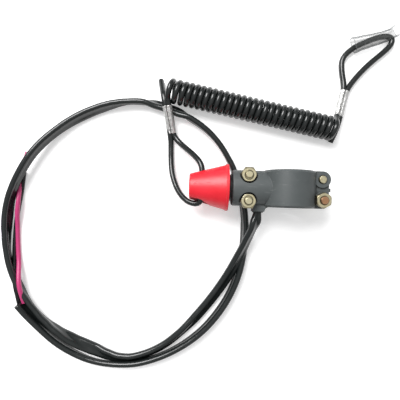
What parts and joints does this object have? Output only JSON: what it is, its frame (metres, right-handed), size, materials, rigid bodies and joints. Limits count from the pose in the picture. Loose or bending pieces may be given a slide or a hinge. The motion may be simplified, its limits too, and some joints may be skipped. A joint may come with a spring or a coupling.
{
  "type": "engine kill switch with lanyard",
  "caption": "Handlebar clamp kill switch: a red cap pulls off its neck on a coiled lanyard and a sprung plunger then joins the contacts.",
  "frame": {"origin": "middle of the handlebar seat: on the bar's axis, halfway across the clamp, on the parting plane of the two halves", "axes": "+Y along the handlebar, +X to the clamp's ear, +Z out of the parting plane, away from the surface that the switch lies on; the barrel and its cap point to -X"},
  "size_m": [0.2127, 0.1902, 0.0276],
  "materials": {
    "housing": "moulded black, satin",
    "zinc_steel": "yellowish zinc plate",
    "worn_steel": "zinc plate worn to a coppery rust at the tip",
    "bushing": "moulded black",
    "plunger": "natural acetal, turned",
    "spring_steel": "drawn wire and strip",
    "insulator": "phenolic disc",
    "contact_brass": "stamped",
    "rubber": "moulded rubber",
    "core_brass": "bare copper strands",
    "red_cap": "moulded red, semi gloss",
    "cable_jacket": "glossy vinyl sleeving",
    "pink_wire": "vinyl insulation",
    "black_wire": "vinyl insulation",
    "cord": "glossy urethane cord",
    "crimp_aluminium": "pressed and knurled",
    "clear_vinyl": "clear vinyl tube, flattened"
  },
  "bodies": {
    "housing": {"upper_housing": "housing", "lower_housing": "housing", "barrel_screws": "zinc_steel", "barrel_nuts": "zinc_steel", "ear_screw_tight": "worn_steel", "ear_screw_loose": "zinc_steel", "ear_nut": "zinc_steel", "plunger_bushing": "bushing", "return_spring": "spring_steel", "contact_carrier": "insulator", "contact_pink": "contact_brass", "contact_black": "contact_brass", "cable_gland": "rubber", "core_pink": "core_brass", "core_black": "core_brass", "cable_sleeve": "cable_jacket", "wire_pink": "pink_wire", "wire_black": "black_wire"},
    "plunger": {"plunger": "plunger", "contact_bridge": "contact_brass", "plunger_clip": "spring_steel"},
    "cap": {"pull_cap": "red_cap", "lanyard_cap_loop": "cord", "crimp_cap_end": "crimp_aluminium", "lanyard_coil": "cord", "crimp_loop_end": "crimp_aluminium", "lanyard_end_loop": "cord", "clear_sleeve": "clear_vinyl"}
  },
  "joints": [
    {"name": "cap_pull", "type": "slide", "parent": "housing", "child": "cap", "axis": [-1, 0, 0], "range_m": [0, 0.006]},
    {"name": "plunger_slide", "type": "slide", "parent": "housing", "child": "plunger", "axis": [-1, 0, 0], "range_m": [0, 0.003], "stiffness_N_per_m": 500, "springref_m": 0.008, "deforming": ["return_spring"]}
  ],
  "couplings": [
    {"joint": "plunger_slide", "follows": "cap_pull", "ratio": 0.5}
  ]
}
